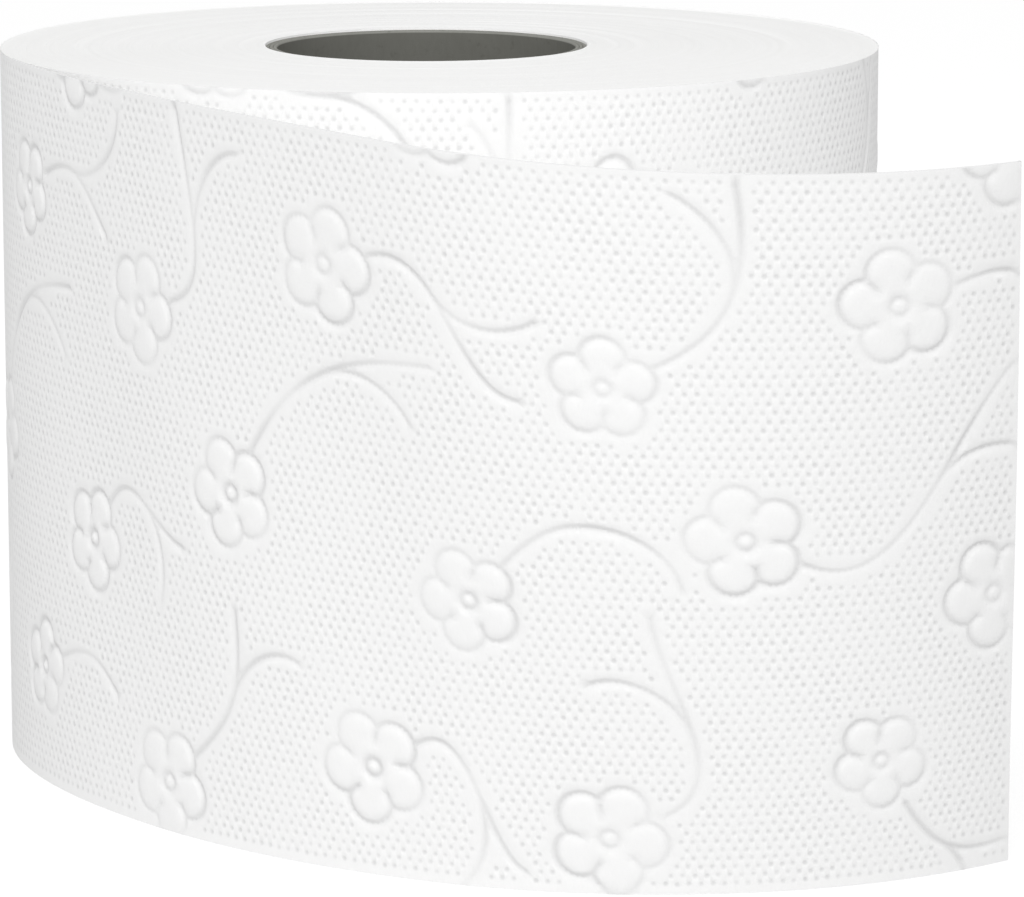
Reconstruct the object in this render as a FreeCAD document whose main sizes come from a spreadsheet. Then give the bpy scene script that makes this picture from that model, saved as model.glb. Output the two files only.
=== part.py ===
"""One toilet paper roll standing on end, its leading sheet loose and curling round the front.

The frame is the roll's own: the origin is on the core's axis in the plane that the roll stands
on, +Z runs up the axis, and the loose sheet passes in front of the roll on the -Y side.

Pieces:
    core_tube    the cardboard tube in the middle
    tissue_web   the whole length of tissue: the wound turns and the loose leading sheet, which
                 is the last turn lifted off the roll
"""
import FreeCAD, Part
import os
from math import atan2, cos, pi, radians, sin

import Sketcher

V = FreeCAD.Vector

# Driving dimensions in millimetres and degrees.
SIZES = {
    # the roll
    "sheet_width": 95.0,          # width of the web, so the roll's and the tube's height
    "roll_diameter": 118.0,       # outside of the wound turns
    "winding_offset": 1.9,        # the turns sit this far to +X of the tube's axis
    # the cardboard tube
    "core_diameter": 43.2,        # outside of the tube, where the first turn is glued on
    "core_wall": 1.5,             # two plies of board
    # the turns on the roll's ends
    "shown_turns": 5,             # turns that stand a little low and draw the spiral
    "turn_gap": 0.5,              # breadth of the spiral channel
    "turn_depth": 0.4,            # depth of the spiral channel
    "turn_margin": 1.6,           # plain tissue left beside the tube and the rim
    # the loose leading sheet
    "sheet_thickness": 0.5,       # two embossed plies
    "peel_depth": 1.0,            # the sheet comes out from this far under the outer turn
    "peel_angle": 198.0,          # where on the roll it comes away, from +X
    "low_sweep_radius": 102.0,    # edge on the floor: a wide sweep, then the curl of the end
    "low_sweep_turn": 48.0,
    "low_curl_radius": 67.0,
    "low_curl_turn": 65.0,
    "high_sweep_radius": 183.0,   # the same at the full height, where the sheet leans out
    "high_sweep_turn": 29.0,
    "high_curl_radius": 56.0,
    "high_curl_turn": 84.0,
    # the upper edge of the loose sheet, which sinks as the sheet leans out
    "droop": 3.8,                 # at the free end
    "droop_start": 40.0,          # it begins this far to -X of the axis
    "droop_run": 91.0,            # and has sunk fully after this run along X
}


def make_sizes(doc):
    """Write the driving dimensions to a spreadsheet, one alias each."""
    sheet = doc.addObject("Spreadsheet::Sheet", "sizes")
    for row, (alias, value) in enumerate(SIZES.items(), start=1):
        sheet.set(f"A{row}", alias.replace("_", " "))
        sheet.set(f"B{row}", str(value))
        sheet.setAlias(f"B{row}", alias)
    doc.recompute()
    return sheet


def bound(text):
    """Turn plain names in a formula into the sheet's aliases."""
    for alias in sorted(SIZES, key=len, reverse=True):
        text = text.replace(f"[{alias}]", f"sizes.{alias}")
    return text


def make_body(doc, label):
    """Add a body with the given label."""
    body = doc.addObject("PartDesign::Body", label)
    body.Label = label
    return body


def add_sketch(body, name, role="XY_Plane", height=None):
    """Add a sketch on one of the body's origin planes, raised by a formula if one is given."""
    sketch = body.newObject("Sketcher::SketchObject", name)
    plane = next(item for item in body.Origin.OriginFeatures if item.Role == role)
    sketch.AttachmentSupport = [(plane, "")]
    sketch.MapMode = "FlatFace"
    if height:
        sketch.setExpression("AttachmentOffset.Base.z", bound(height))
    return sketch


def hold(sketch, name, constraint, formula):
    """Add a named constraint and bind its value to a formula of the sizes."""
    index = sketch.addConstraint(constraint)
    sketch.renameConstraint(index, name)
    sketch.setExpression(f"Constraints.{name}", bound(formula))


def hold_circle(sketch, name, guess_radius, radius):
    """Add a circle of bound radius, centred on the origin."""
    circle = sketch.addGeometry(Part.Circle(V(0, 0, 0), V(0, 0, 1), guess_radius))
    hold(sketch, f"{name}_radius", Sketcher.Constraint("Radius", circle, guess_radius), radius)
    sketch.addConstraint(Sketcher.Constraint("Coincident", circle, 3, -1, 1))


def hold_halves(sketch, name, guess_radius, radius, centre_x, guess_x):
    """Add a round outline of bound radius as a left and a right half that meet above its centre."""
    full = Part.Circle(V(guess_x, 0, 0), V(0, 0, 1), guess_radius)
    left = sketch.addGeometry(Part.ArcOfCircle(full, pi / 2, 3 * pi / 2))
    right = sketch.addGeometry(Part.ArcOfCircle(full, 3 * pi / 2, 5 * pi / 2))
    start, end, centre = 1, 2, 3
    sketch.addConstraint(Sketcher.Constraint("Coincident", left, end, right, start))
    sketch.addConstraint(Sketcher.Constraint("Coincident", right, end, left, start))
    sketch.addConstraint(Sketcher.Constraint("Coincident", left, centre, right, centre))
    sketch.addConstraint(Sketcher.Constraint("Vertical", left, start, left, centre))
    sketch.addConstraint(Sketcher.Constraint("Vertical", left, end, left, centre))
    sketch.addConstraint(Sketcher.Constraint("PointOnObject", left, centre, -1))
    hold(sketch, f"{name}_x", Sketcher.Constraint("DistanceX", -1, 1, left, centre, guess_x), centre_x)
    hold(sketch, f"{name}_radius", Sketcher.Constraint("Radius", left, guess_radius), radius)


def add_pad(body, name, sketch, length):
    """Pad a sketch upwards by a bound length."""
    pad = body.newObject("PartDesign::Pad", name)
    pad.Profile = sketch
    pad.setExpression("Length", bound(length))
    return pad


def make_core_tube(doc):
    """Build the cardboard tube: a plain cut length of spiral-wound board."""
    body = make_body(doc, "core_tube")
    ring = add_sketch(body, "tube_section")
    outer = SIZES["core_diameter"] / 2
    hold_circle(ring, "outside", outer, "[core_diameter] / 2")
    hold_circle(ring, "bore", outer - SIZES["core_wall"], "[core_diameter] / 2 - [core_wall]")
    add_pad(body, "tube", ring, "[sheet_width]")
    return body


def spiral_crossings(offset, breadth):
    """Return where one wall of the spiral crosses the X axis, as guesses and formulas.

    The turns are half circles whose ends lie on the X axis, right and left in turn. The turns
    are further apart on the +X side, because the roll is wound off the tube's centre.
    """
    size = SIZES
    turns = size["shown_turns"]
    start = "[core_diameter] / 2 + [turn_margin]"
    right = "([roll_diameter] / 2 + [winding_offset] - [core_diameter] / 2 - 2 * [turn_margin])"
    left = "([roll_diameter] / 2 - [winding_offset] - [core_diameter] / 2 - 2 * [turn_margin])"
    first = size["core_diameter"] / 2 + size["turn_margin"]
    rest = size["roll_diameter"] / 2 - size["core_diameter"] / 2 - 2 * size["turn_margin"]
    crossings = []
    for half in range(2 * turns + 1):
        side = 1 if half % 2 == 0 else -1
        share = half / (2 * turns)
        span = rest + side * size["winding_offset"]
        guess = side * (first + share * span + offset)
        formula = f"{start} + {right if side > 0 else left} * {share!r} + {breadth}"
        crossings.append((guess, formula))
    return crossings


def add_spiral_wall(sketch, name, crossings):
    """Draw one wall of the spiral channel as half circles and hold their ends on the X axis."""
    arcs = []
    for half in range(len(crossings) - 1):
        here, there = crossings[half][0], crossings[half + 1][0]
        middle, reach = (here + there) / 2, abs(here - there) / 2
        begin, end = (0, 180) if here > there else (180, 360)
        circle = Part.Circle(V(middle, 0, 0), V(0, 0, 1), reach)
        arcs.append(sketch.addGeometry(Part.ArcOfCircle(circle, radians(begin), radians(end))))
        sketch.addConstraint(Sketcher.Constraint("PointOnObject", arcs[-1], 3, -1))
        if half:
            sketch.addConstraint(Sketcher.Constraint("Coincident", arcs[-2], 2, arcs[-1], 1))
    for index, (guess, formula) in enumerate(crossings):
        arc, end = (arcs[index], 1) if index < len(arcs) else (arcs[-1], 2)
        if guess > 0:
            distance = Sketcher.Constraint("DistanceX", -1, 1, arc, end, guess)
        else:
            distance = Sketcher.Constraint("DistanceX", arc, end, -1, 1, -guess)
        sketch.addConstraint(Sketcher.Constraint("PointOnObject", arc, end, -1))
        hold(sketch, f"{name}_{index}", distance, formula)
    return arcs


def cut_turns(body, name, height, reversed_cut):
    """Cut the spiral channel between the turns into one end of the roll."""
    sketch = add_sketch(body, f"{name}_spiral", height=height)
    inner = add_spiral_wall(sketch, "inner", spiral_crossings(0.0, "0"))
    gap = SIZES["turn_gap"]
    outer = add_spiral_wall(sketch, "outer", spiral_crossings(gap, "[turn_gap]"))
    for arc_in, arc_out, end in ((inner[0], outer[0], 1), (inner[-1], outer[-1], 2)):
        points = [sketch.getPoint(arc_in, end), sketch.getPoint(arc_out, end)]
        line = sketch.addGeometry(Part.LineSegment(*points))
        sketch.addConstraint(Sketcher.Constraint("Coincident", line, 1, arc_in, end))
        sketch.addConstraint(Sketcher.Constraint("Coincident", line, 2, arc_out, end))
    pocket = body.newObject("PartDesign::Pocket", f"{name}_turns")
    pocket.Profile = sketch
    pocket.Reversed = reversed_cut
    pocket.setExpression("Length", bound("[turn_depth]"))
    return pocket


def make_winding(doc):
    """Build the wound turns: a thick ring round the tube with its spiral drawn on both ends."""
    body = make_body(doc, "winding")
    ring = add_sketch(body, "roll_section")
    hold_circle(ring, "tube", SIZES["core_diameter"] / 2, "[core_diameter] / 2")
    hold_halves(ring, "rim", SIZES["roll_diameter"] / 2, "[roll_diameter] / 2",
                "[winding_offset]", SIZES["winding_offset"])
    add_pad(body, "turns", ring, "[sheet_width]")
    cut_turns(body, "upper", "[sheet_width]", False)
    cut_turns(body, "lower", None, True)
    return body


def edge_line(edge):
    """Return the corners of the sheet's outline at one height, as guesses and formulas.

    The outer face starts on a circle just under the outer turn and runs along two tangent arcs.
    Each corner of the outer face has one on the inner face, a sheet's thickness to the left.
    """
    size = SIZES
    heading = size["peel_angle"] + 90
    heading_formula = "([peel_angle] + 90)"
    reach = size["roll_diameter"] / 2 - size["peel_depth"]
    reach_formula = "([roll_diameter] / 2 - [peel_depth])"
    x = size["winding_offset"] + reach * cos(radians(size["peel_angle"]))
    y = reach * sin(radians(size["peel_angle"]))
    x_formula = f"[winding_offset] + {reach_formula} * cos([peel_angle])"
    y_formula = f"{reach_formula} * sin([peel_angle])"
    corners = []
    for arc in ("", "sweep", "curl"):
        if arc:
            radius, turn = size[f"{edge}_{arc}_radius"], size[f"{edge}_{arc}_turn"]
            named = f"[{edge}_{arc}_radius]"
            onward, onward_formula = heading + turn, f"({heading_formula} + [{edge}_{arc}_turn])"
            x += radius * (sin(radians(onward)) - sin(radians(heading)))
            y -= radius * (cos(radians(onward)) - cos(radians(heading)))
            x_formula += f" + {named} * (sin({onward_formula}) - sin({heading_formula}))"
            y_formula += f" - {named} * (cos({onward_formula}) - cos({heading_formula}))"
            heading, heading_formula = onward, onward_formula
        thick = size["sheet_thickness"]
        outer = (V(x, y, 0), x_formula, y_formula)
        inner = (V(x - thick * sin(radians(heading)), y + thick * cos(radians(heading)), 0),
                 f"{x_formula} - [sheet_thickness] * sin({heading_formula})",
                 f"{y_formula} + [sheet_thickness] * cos({heading_formula})")
        corners.append((outer, inner, heading))
    return corners


def hold_point(sketch, name, geometry, end, corner):
    """Hold one end of a curve at a corner of the outline, measured from the origin."""
    guess, x_formula, y_formula = corner
    for axis, value, formula in (("X", guess.x, x_formula), ("Y", guess.y, y_formula)):
        if value >= 0:
            rule = Sketcher.Constraint(f"Distance{axis}", -1, 1, geometry, end, value)
            hold(sketch, f"{name}_{axis}", rule, formula)
        else:
            rule = Sketcher.Constraint(f"Distance{axis}", geometry, end, -1, 1, -value)
            hold(sketch, f"{name}_{axis}", rule, f"-({formula})")


def draw_edge(body, edge, height):
    """Sketch the thin outline of the loose sheet at one height: two faces and two ends."""
    sketch = add_sketch(body, f"{edge}_outline", height=height)
    corners = edge_line(edge)
    sides = {"outer": [], "inner": []}
    for part, arc in enumerate(("sweep", "curl")):
        radius, thick = SIZES[f"{edge}_{arc}_radius"], SIZES["sheet_thickness"]
        begin, end = corners[part][2] - 90, corners[part + 1][2] - 90
        centre = corners[part][0][0] - radius * V(cos(radians(begin)), sin(radians(begin)), 0)
        for face, drawn, formula in (("outer", radius, f"[{edge}_{arc}_radius]"),
                                     ("inner", radius - thick,
                                      f"[{edge}_{arc}_radius] - [sheet_thickness]")):
            circle = Part.Circle(centre, V(0, 0, 1), drawn)
            curve = sketch.addGeometry(Part.ArcOfCircle(circle, radians(begin), radians(end)))
            hold(sketch, f"{arc}_{face}", Sketcher.Constraint("Radius", curve, drawn), formula)
            sides[face].append(curve)
    for face, curves in sides.items():
        place = 0 if face == "outer" else 1
        sketch.addConstraint(Sketcher.Constraint("Coincident", curves[0], 2, curves[1], 1))
        hold_point(sketch, f"{face}_start", curves[0], 1, corners[0][place])
        hold_point(sketch, f"{face}_bend", curves[1], 1, corners[1][place])
        hold_point(sketch, f"{face}_end", curves[1], 2, corners[2][place])
    for index, end in ((0, 1), (-1, 2)):
        curves = sides["outer"][index], sides["inner"][index]
        line = sketch.addGeometry(Part.LineSegment(*(sketch.getPoint(c, end) for c in curves)))
        sketch.addConstraint(Sketcher.Constraint("Coincident", line, 1, curves[0], end))
        sketch.addConstraint(Sketcher.Constraint("Coincident", line, 2, curves[1], end))
    return sketch


def trim_top(body):
    """Cut the upper edge of the loose sheet along a soft fall, two tangent arcs and a level."""
    size = SIZES
    sketch = add_sketch(body, "droop_line", role="XZ_Plane")
    half, fall = size["droop_run"] / 2, size["droop"] / 2
    radius = (half ** 2 + fall ** 2) / (2 * fall)
    top = size["sheet_width"]
    start, bend = V(-size["droop_start"], top, 0), V(half - size["droop_start"], top - fall, 0)
    sunk = start + V(2 * half, -2 * fall, 0)
    swing = atan2(half, radius - fall)
    crest = Part.Circle(start - V(0, radius, 0), V(0, 0, 1), radius)
    trough = Part.Circle(sunk + V(0, radius, 0), V(0, 0, 1), radius)
    falling = sketch.addGeometry(Part.ArcOfCircle(crest, pi / 2 - swing, pi / 2))
    easing = sketch.addGeometry(Part.ArcOfCircle(trough, 1.5 * pi - swing, 1.5 * pi))
    corners = [sunk, sunk + V(size["roll_diameter"], 0, 0),
               sunk + V(size["roll_diameter"], 4 * fall, 0), start + V(0, 2 * fall, 0), start]
    lines = [sketch.addGeometry(Part.LineSegment(a, b)) for a, b in zip(corners, corners[1:])]
    rules = [
        Sketcher.Constraint("Coincident", falling, 1, easing, 1),
        Sketcher.Constraint("Coincident", easing, 2, lines[0], 1),
        Sketcher.Constraint("Coincident", lines[0], 2, lines[1], 1),
        Sketcher.Constraint("Coincident", lines[1], 2, lines[2], 1),
        Sketcher.Constraint("Coincident", lines[2], 2, lines[3], 1),
        Sketcher.Constraint("Coincident", lines[3], 2, falling, 2),
        Sketcher.Constraint("Horizontal", lines[0]),
        Sketcher.Constraint("Vertical", lines[1]),
        Sketcher.Constraint("Horizontal", lines[2]),
        Sketcher.Constraint("Vertical", lines[3]),
        Sketcher.Constraint("Vertical", falling, 3, falling, 2),
        Sketcher.Constraint("Vertical", easing, 3, easing, 2),
    ]
    for rule in rules:
        sketch.addConstraint(rule)
    spans = [
        ("start_x", ("DistanceX", falling, 2, -1, 1), -start.x, "[droop_start]"),
        ("start_z", ("DistanceY", -1, 1, falling, 2), start.y, "[sheet_width]"),
        ("half_run", ("DistanceX", falling, 2, falling, 1), bend.x - start.x, "[droop_run] / 2"),
        ("half_fall", ("DistanceY", falling, 1, falling, 2), start.y - bend.y, "[droop] / 2"),
        ("whole_run", ("DistanceX", falling, 2, easing, 2), sunk.x - start.x, "[droop_run]"),
        ("whole_fall", ("DistanceY", easing, 2, falling, 2), start.y - sunk.y, "[droop]"),
        ("level", ("DistanceX", lines[0], 1, lines[0], 2), size["roll_diameter"],
         "[roll_diameter]"),
        ("waste", ("DistanceY", lines[3], 2, lines[3], 1), 2 * fall, "[droop]"),
    ]
    for name, measured, value, formula in spans:
        hold(sketch, name, Sketcher.Constraint(*measured, value), formula)
    pocket = body.newObject("PartDesign::Pocket", "droop_cut")
    pocket.Profile = sketch
    pocket.Midplane = True
    pocket.setExpression("Length", bound("4 * [roll_diameter]"))


def make_loose_sheet(doc):
    """Build the loose leading sheet: ruled from its edge on the floor to its upper edge."""
    body = make_body(doc, "loose_sheet")
    low = draw_edge(body, "low", None)
    high = draw_edge(body, "high", "[sheet_width]")
    loft = body.newObject("PartDesign::AdditiveLoft", "curl")
    loft.Profile = low
    loft.Sections = [high]
    loft.Ruled = True
    trim_top(body)
    return body


def make_tissue_web(doc):
    """Join the wound turns and the loose sheet, which are one length of tissue."""
    winding = make_winding(doc)
    sheet = make_loose_sheet(doc)
    web = doc.addObject("Part::MultiFuse", "tissue_web")
    web.Label = "tissue_web"
    web.Shapes = [winding, sheet]
    web.Refine = False
    return web


def check(doc, pieces):
    """Stop if an object failed or a piece is not one sound solid."""
    for item in doc.Objects:
        if {"Invalid", "Error"} & set(item.State):
            raise RuntimeError(f"{item.Label} failed: {item.State}")
    for piece in pieces:
        shape = piece.Shape
        if shape.isNull() or not shape.isValid() or len(shape.Solids) != 1:
            raise RuntimeError(f"{piece.Label} is not one sound solid")


def main():
    """Build both pieces, check them and write each to its file."""
    doc = FreeCAD.newDocument("toilet_paper_roll")
    make_sizes(doc)
    pieces = [make_core_tube(doc), make_tissue_web(doc)]
    for piece in pieces:
        piece.Placement = FreeCAD.Placement(V(0, 0, 0), FreeCAD.Rotation())
    doc.recompute()
    check(doc, pieces)
    os.makedirs("parts", exist_ok=True)
    for piece in pieces:
        piece.Shape.exportStep(f"parts/{piece.Label}.step")
        box = piece.Shape.BoundBox
        print(f"{piece.Label}: {piece.Shape.Volume / 1000:.1f} cm3, "
              f"x {box.XMin:.1f} to {box.XMax:.1f}, y {box.YMin:.1f} to {box.YMax:.1f}, "
              f"z {box.ZMin:.2f} to {box.ZMax:.2f}")


main()
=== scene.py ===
"""A standing roll of embossed toilet paper whose first length of web hangs loose in front of it.

The web is one strip, drawn flat with its pressed pattern and then laid along its real path: once
round the roll and off it as the loose sheet. The wound edges, the board tube and the plain studio
complete the picture. Sizes are in millimetres and the meshes are written in metres.
"""

import logging
import math
import random
from dataclasses import dataclass, field
from enum import Enum

import bpy
import numpy as np
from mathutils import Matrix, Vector
from mathutils.geometry import delaunay_2d_cdt
from mathutils.kdtree import KDTree


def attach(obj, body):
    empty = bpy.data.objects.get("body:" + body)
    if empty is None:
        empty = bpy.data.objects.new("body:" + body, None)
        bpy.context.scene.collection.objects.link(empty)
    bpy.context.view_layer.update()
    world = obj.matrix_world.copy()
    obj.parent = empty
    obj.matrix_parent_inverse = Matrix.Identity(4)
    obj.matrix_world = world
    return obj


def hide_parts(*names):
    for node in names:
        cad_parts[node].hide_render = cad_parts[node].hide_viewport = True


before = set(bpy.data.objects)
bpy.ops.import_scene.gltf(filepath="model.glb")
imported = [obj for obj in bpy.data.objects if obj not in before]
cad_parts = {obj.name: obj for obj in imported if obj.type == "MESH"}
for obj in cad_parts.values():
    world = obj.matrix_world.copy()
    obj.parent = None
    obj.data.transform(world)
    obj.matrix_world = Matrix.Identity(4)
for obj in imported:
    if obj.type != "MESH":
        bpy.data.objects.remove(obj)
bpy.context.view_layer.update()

LOG = logging.getLogger("paper_roll")
MM = 0.001
FULL_TURN = 2.0 * math.pi
SHORTEST = 1e-12
EDGE_TOLERANCE = 1e-6
JOIN_TOLERANCE = 1e-5
CURVE_POINTS = 60

Colour = tuple[float, float, float]
Socket = bpy.types.NodeSocket


class End(Enum):
    """The two wound ends of the roll."""

    UPPER = "upper"
    LOWER = "lower"


class Slot(Enum):
    """The record's material slots."""

    TISSUE = "tissue"
    BOARD = "board"


def smooth(value: np.ndarray) -> np.ndarray:
    """Eased step of a value: 0 up to 0, 1 from 1 on."""
    clipped = np.clip(value, 0.0, 1.0)
    return clipped * clipped * (3.0 - 2.0 * clipped)


def unit(vectors: np.ndarray) -> np.ndarray:
    """Rows of vectors at length 1."""
    return vectors / np.maximum(np.linalg.norm(vectors, axis=1, keepdims=True), SHORTEST)


def ray(angle: float) -> np.ndarray:
    """Flat unit vector at an angle."""
    return np.array([math.cos(angle), math.sin(angle)])


def resample(points: np.ndarray, step: float) -> np.ndarray:
    """Lays points at even steps along a flat line.

    Args:
        points: Corners of the line, one row each.
        step: Wanted distance between the new points.

    Returns:
        The new points, both ends included.
    """
    reach = np.concatenate([[0.0], np.cumsum(np.linalg.norm(np.diff(points, axis=0), axis=1))])
    count = max(2, int(round(reach[-1] / step)) + 1)
    stations = np.linspace(0.0, reach[-1], count)
    return np.column_stack([np.interp(stations, reach, points[:, axis]) for axis in (0, 1)])


def bent_line(
    start: np.ndarray, leave: np.ndarray, arrive: np.ndarray, end: np.ndarray
) -> np.ndarray:
    """Draws a smooth curve between two points.

    Args:
        start: First point.
        leave: Handle that pulls the curve as it leaves the start.
        arrive: Handle that pulls it as it comes to the end.
        end: Last point.

    Returns:
        Points of the curve.
    """
    t = np.linspace(0.0, 1.0, CURVE_POINTS)[:, None]
    back = 1.0 - t
    return back**3 * start + 3 * back**2 * t * leave + 3 * back * t**2 * arrive + t**3 * end


def band(near: np.ndarray, far: np.ndarray) -> np.ndarray:
    """Joins two rows of points by a band of triangles.

    Args:
        near: Numbers of the points in one row.
        far: Numbers of the points in the other row, as many.

    Returns:
        The triangles, two for each step along the rows.
    """
    first = np.column_stack([near[:-1], far[:-1], near[1:]])
    second = np.column_stack([near[1:], far[:-1], far[1:]])
    return np.concatenate([first, second])


@dataclass(frozen=True)
class Span:
    """A range from which single sizes are drawn by chance.

    Attributes:
        least: Its lower end.
        most: Its upper end.
    """

    least: float
    most: float

    def draw(self, chance: random.Random) -> float:
        """Draws one size."""
        return chance.uniform(self.least, self.most)

    def angle(self, chance: random.Random) -> float:
        """Draws one size in degrees and gives it in radians."""
        return math.radians(self.draw(chance))


@dataclass(frozen=True)
class Unevenness:
    """A slow wave over the flat web, which is pressed harder in one place than in another.

    Attributes:
        middle: Middle value.
        swing: Most that the value differs from the middle.
        along: Distance along the web in which the wave turns by a radian.
        across: The same across the web.
        twist: How much the wave across bends the wave along.
    """

    middle: float
    swing: float
    along: float
    across: float
    twist: float

    def at(self, points: np.ndarray) -> np.ndarray:
        """Value at flat points."""
        bend = self.twist * np.sin(points[:, 1] / self.across)
        return self.middle + self.swing * np.sin(points[:, 0] / self.along + bend)


@dataclass(frozen=True)
class Blossom:
    """One pressed blossom on the flat web.

    Attributes:
        along: Centre along the web.
        across: Centre across the web.
        reach: Distance from the centre to a petal's tip.
        turn: Angle of the first petal, in radians.
        petals: Number of petals.
        petal_round: Power that shapes the petals, rounder as it gets smaller.
        waist: Share of the reach at the notch between two petals.
        crease_gap: Share of the reach between a notch and its crease.
        crease_end: Share of the reach where a crease between petals stops.
        crease_swing: How far a crease turns as it runs inwards.
        crease_points: Points of a crease.
        button: Share of the reach that the round middle takes.
        outline_points: Points of the outline and of the middle.
    """

    along: float
    across: float
    reach: float
    turn: float
    petals: int = 5
    petal_round: float = 0.75
    waist: float = 0.70
    crease_gap: float = 0.06
    crease_end: float = 0.50
    crease_swing: float = 0.25
    crease_points: int = 12
    button: float = 0.15
    outline_points: int = 181

    @property
    def centre(self) -> np.ndarray:
        """Centre on the flat web."""
        return np.array([self.along, self.across])

    def rim(self, angle: np.ndarray) -> np.ndarray:
        """Distance from the centre to the outline at an angle."""
        swell = np.abs(np.cos(0.5 * self.petals * (angle - self.turn))) ** self.petal_round
        return self.reach * (self.waist + (1.0 - self.waist) * swell)

    def at(self, angle: np.ndarray, distance: np.ndarray) -> np.ndarray:
        """Flat points at angles and distances from the centre."""
        heading = np.column_stack([np.cos(angle), np.sin(angle)])
        return self.centre + heading * np.reshape(distance, (-1, 1))

    def lines(self) -> list[np.ndarray]:
        """Pressed lines of the blossom: its outline, its middle and its creases."""
        round_angles = np.linspace(0.0, FULL_TURN, self.outline_points)
        middle = np.full(self.outline_points, self.button * self.reach)
        drawn = [self.at(round_angles, self.rim(round_angles)), self.at(round_angles, middle)]
        shares = np.linspace(self.waist - self.crease_gap, self.crease_end, self.crease_points)
        for petal in range(self.petals):
            notch = self.turn + FULL_TURN * (petal + 0.5) / self.petals
            angles = notch + self.crease_swing * (self.waist - shares)
            drawn.append(self.at(angles, shares * self.reach))
        return drawn

    def holds(self, points: np.ndarray) -> np.ndarray:
        """Whether flat points lie inside the outline."""
        offset = points - self.centre
        distance = np.hypot(offset[:, 0], offset[:, 1])
        inside = distance < self.reach
        angle = np.arctan2(offset[inside, 1], offset[inside, 0])
        inside[inside] = distance[inside] < self.rim(angle)
        return inside


@dataclass(frozen=True)
class Planting:
    """Where the blossoms stand: in staggered columns and tiers, each a little off its place.

    Attributes:
        column_step: Distance between columns.
        column_shift: Share of that distance by which tiers stand to and fro in turn.
        tier_step: Distance between tiers.
        first_tier: Share of that distance at which the first tier stands.
        tier_shift: How far the columns stand up and down in turn.
        along_drift: How far a blossom lies off its place along the web.
        across_drift: How far it lies off it across the web.
        reach: Middle size of a blossom, from its centre to a petal's tip.
        growth: Shares of that size that single blossoms have.
    """

    column_step: float = 35.0
    column_shift: float = 0.25
    tier_step: float = 31.0
    first_tier: float = 0.35
    tier_shift: float = 5.0
    along_drift: Span = Span(-2.5, 2.5)
    across_drift: Span = Span(-2.0, 2.0)
    reach: float = 6.9
    growth: Span = Span(0.92, 1.10)

    def plant(
        self, start: float, stop: float, width: float, chance: random.Random
    ) -> dict[tuple[int, int], Blossom]:
        """Sets the blossoms out.

        Args:
            start: Where the web begins.
            stop: Where it ends.
            width: Width of the web.
            chance: Source of the small differences.

        Returns:
            The blossoms by column and tier.
        """
        first = math.floor(start / self.column_step) - 1
        last = math.ceil(stop / self.column_step) + 1
        tiers = math.ceil(width / self.tier_step) + 1
        grid: dict[tuple[int, int], Blossom] = {}
        for column in range(first, last):
            for tier in range(tiers):
                along = (column + self.column_shift * (-1) ** tier) * self.column_step
                along += self.along_drift.draw(chance)
                across = (tier + self.first_tier) * self.tier_step + self.tier_shift * (-1) ** column
                across += self.across_drift.draw(chance)
                reach = self.reach * self.growth.draw(chance)
                turn = chance.uniform(0.0, FULL_TURN)
                grid[column, tier] = Blossom(along, across, reach, turn)
        return grid


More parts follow.
